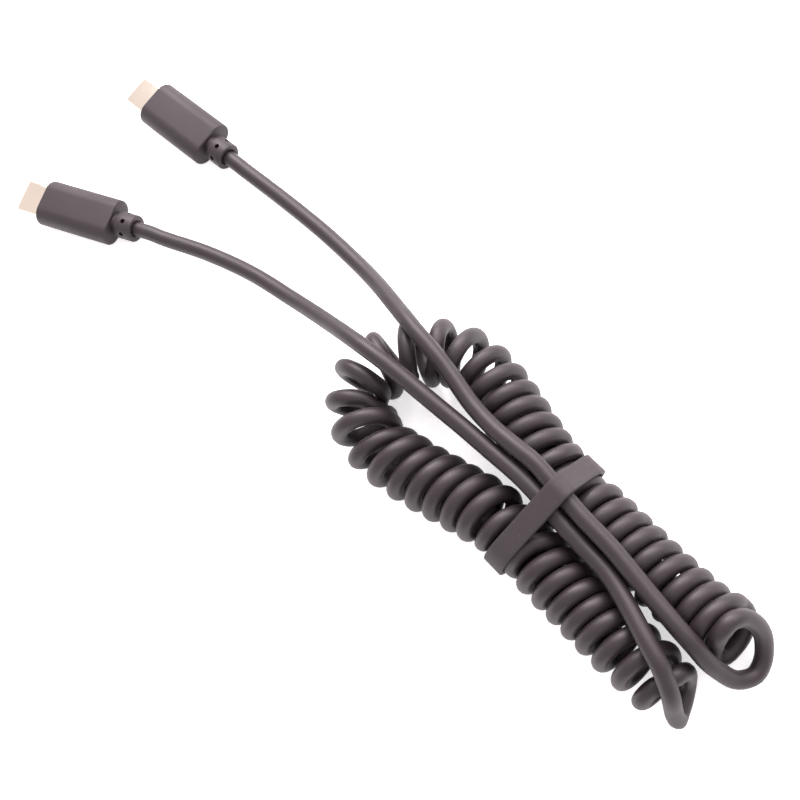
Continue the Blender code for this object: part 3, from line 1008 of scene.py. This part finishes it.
def finish_material(name, colours, roughness, spread, metallic, grain, bump, marks, wear):
    """A finish from a dark, a light and a worn colour, with its own gloss, grain, marks and edge wear."""
    dark, light, worn = colours
    material = bpy.data.materials.new(name)
    material.use_nodes = True
    tree = material.node_tree
    links = tree.links
    shader = tree.nodes["Principled BSDF"]
    shader.inputs["Metallic"].default_value = metallic

    handled = place_group(tree, HANDLING, marks)
    rims = place_group(tree, EDGE, wear)
    both = node(tree, "ShaderNodeMath", operation="MAXIMUM")
    links.new(handled.outputs["Dust"], both.inputs[0])
    links.new(rims.outputs["Edge"], both.inputs[1])
    tones = colour_mix(tree, dark, light, handled.outputs["Patches"])
    links.new(colour_mix(tree, tones, worn, both.outputs["Value"]), shader.inputs["Base Color"])

    gloss = node(tree, "ShaderNodeMapRange")
    gloss.inputs["From Min"].default_value = PATCH_LOW
    gloss.inputs["From Max"].default_value = PATCH_HIGH
    gloss.inputs["To Min"].default_value = roughness - spread
    gloss.inputs["To Max"].default_value = roughness + spread
    links.new(handled.outputs["Patches"], gloss.inputs["Value"])
    links.new(gloss.outputs["Result"], shader.inputs["Roughness"])

    surface = place_group(tree, GRAIN, grain)
    relief = node(tree, "ShaderNodeBump")
    relief.inputs["Strength"].default_value = bump
    relief.inputs["Distance"].default_value = GRAIN_DEPTH
    links.new(surface.outputs["Height"], relief.inputs["Height"])
    links.new(relief.outputs["Normal"], shader.inputs["Normal"])
    return material


print("helpers:", [helper.__name__ for helper in (place_group, colour_mix, finish_material)])

# %% [markdown]
# ## The six finishes
#
# All six differ in tone, gloss and grain. Scales count how often a pattern repeats per metre, so the jacket's
# grain of 5000 is a fifth of a millimetre wide. The blacks are a little warm, as in the photograph.

# %% The six finishes
cord_jacket = finish_material(
    "cord_jacket", colours=((0.017, 0.012, 0.013), (0.023, 0.0165, 0.018), (0.07, 0.06, 0.06)),
    roughness=0.5, spread=0.05, metallic=0, bump=0.25,
    grain={"Grain Scale": 5000, "Wave Scale": 500, "Wave Share": 0.4},
    marks={"Patch Scale": 90, "Speck Scale": 2600, "Speck Amount": 0.12},
    wear={"Radius": 0.0002, "Strength": 0})
grip_plastic = finish_material(
    "grip_plastic", colours=((0.020, 0.0145, 0.0165), (0.026, 0.0195, 0.022), (0.08, 0.066, 0.068)),
    roughness=0.6, spread=0.05, metallic=0, bump=0.5,
    grain={"Grain Scale": 7000, "Wave Scale": 900, "Wave Share": 0.3},
    marks={"Patch Scale": 110, "Speck Scale": 3000, "Speck Amount": 0.15},
    wear={"Radius": 0.0003, "Strength": 2})
relief_plastic = finish_material(
    "relief_plastic", colours=((0.019, 0.014, 0.0155), (0.025, 0.0185, 0.0205), (0.07, 0.06, 0.06)),
    roughness=0.52, spread=0.05, metallic=0, bump=0.3,
    grain={"Grain Scale": 6000, "Wave Scale": 700, "Wave Share": 0.4},
    marks={"Patch Scale": 130, "Speck Scale": 3000, "Speck Amount": 0.12},
    wear={"Radius": 0.0002, "Strength": 1.5})
tie_rubber = finish_material(
    "tie_rubber", colours=((0.024, 0.019, 0.0205), (0.032, 0.0255, 0.0275), (0.07, 0.062, 0.062)),
    roughness=0.66, spread=0.06, metallic=0, bump=0.8,
    grain={"Grain Scale": 3500, "Wave Scale": 500, "Wave Share": 0.5},
    marks={"Patch Scale": 200, "Speck Scale": 1900, "Speck Amount": 0.35},
    wear={"Radius": 0.0003, "Strength": 1})
shell_nickel = finish_material(
    "shell_nickel", colours=((0.84, 0.76, 0.63), (0.88, 0.81, 0.68), (0.92, 0.87, 0.8)),
    roughness=0.12, spread=0.03, metallic=1, bump=0.12,
    grain={"Grain Scale": 2500, "Wave Scale": 300, "Wave Share": 0.3},
    marks={"Patch Scale": 160, "Speck Scale": 4000, "Speck Amount": 0.2},
    wear={"Radius": 0.0002, "Strength": 1})
insert_plastic = finish_material(
    "insert_plastic", colours=((0.018, 0.018, 0.019), (0.026, 0.026, 0.027), (0.08, 0.08, 0.08)),
    roughness=0.36, spread=0.05, metallic=0, bump=0.2,
    grain={"Grain Scale": 4000, "Wave Scale": 400, "Wave Share": 0.5},
    marks={"Patch Scale": 300, "Speck Scale": 4000, "Speck Amount": 0.2},
    wear={"Radius": 0.0001, "Strength": 1})
print("finishes:", sorted(material.name for material in bpy.data.materials))

# %% [markdown]
# ## Dressing the pieces
#
# Each piece gets one finish. The two contact inserts are imported solids, so only the material in their slot
# is changed.

# %% Dress the pieces
def dress(obj, material):
    """The material on a piece, as its only one."""
    obj.data.materials.clear()
    obj.data.materials.append(material)


dress(cord, cord_jacket)
dress(tie, tie_rubber)
for letter in "ab":
    dress(plug_pieces["grip_" + letter], grip_plastic)
    dress(plug_pieces["relief_" + letter], relief_plastic)
    dress(plug_pieces["shell_" + letter], shell_nickel)
    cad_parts["contact_insert_" + letter].material_slots[0].material = insert_plastic
print("dressed:", cord.name, tie.name, *sorted(plug_pieces))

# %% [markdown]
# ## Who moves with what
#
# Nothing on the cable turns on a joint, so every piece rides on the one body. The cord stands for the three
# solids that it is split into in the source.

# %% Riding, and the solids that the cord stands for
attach(cord, "root")
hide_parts("lead_a", "lead_b", "coil")
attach(tie, "root")
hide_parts("cable_tie")

# %% [markdown]
# ## The floor
#
# The photograph is a cut-out on pure white. A plain white floor that also glows faintly comes close to that,
# with only a breath of shadow left under the coil.

# %% Floor
FLOOR_SIZE = 3
FLOOR_TONE = 0.9
FLOOR_GLOW = 0.6

bpy.ops.object.select_all(action="DESELECT")
bpy.ops.mesh.primitive_plane_add(size=FLOOR_SIZE, location=(0, 0, 0))
floor = bpy.context.object
floor.name = "floor"
floor_material = bpy.data.materials.new("floor_white")
floor_material.use_nodes = True
floor_shader = floor_material.node_tree.nodes["Principled BSDF"]
floor_shader.inputs["Base Color"].default_value = (FLOOR_TONE, FLOOR_TONE, FLOOR_TONE, 1)
floor_shader.inputs["Roughness"].default_value = 0.9
floor_shader.inputs["Emission Color"].default_value = (1, 1, 1, 1)
floor_shader.inputs["Emission Strength"].default_value = FLOOR_GLOW
floor.data.materials.append(floor_material)
print("floor:", FLOOR_SIZE, "m wide")

# %% [markdown]
# ## The light
#
# An even surround lights the cable from all sides, as in a light tent, and gives the black plastic its warm
# tone. Three soft boxes stand behind the cable and draw the pale line along the top of each turn and lead.
# The one behind left is small and low, because the flat tops of the shells mirror that part of the room.

# %% Light
TENT_TINT = (1, 0.91, 0.945)


def soft_box(name, place, size, watts):
    """A square soft box at a place in metres, turned towards the cable."""
    light = bpy.data.lights.new(name, "AREA")
    light.shape = "SQUARE"
    light.size = size
    light.energy = watts
    light.color = TENT_TINT
    obj = bpy.data.objects.new(name, light)
    bpy.context.scene.collection.objects.link(obj)
    obj.location = place
    obj.rotation_euler = (-Vector(place)).to_track_quat("-Z", "Y").to_euler()


soft_box("behind left", (-0.62, 0.33, 0.46), size=0.45, watts=5)
soft_box("behind", (-0.4, 0.42, 0.6), size=0.6, watts=7)
soft_box("behind right", (0.03, 0.6, 0.55), size=0.7, watts=5)
world = bpy.data.worlds.new("world")
world.use_nodes = True
surround = world.node_tree.nodes["Background"]
surround.inputs["Color"].default_value = (*TENT_TINT, 1)
surround.inputs["Strength"].default_value = 1
bpy.context.scene.world = world
bpy.context.scene.view_settings.view_transform = "Standard"
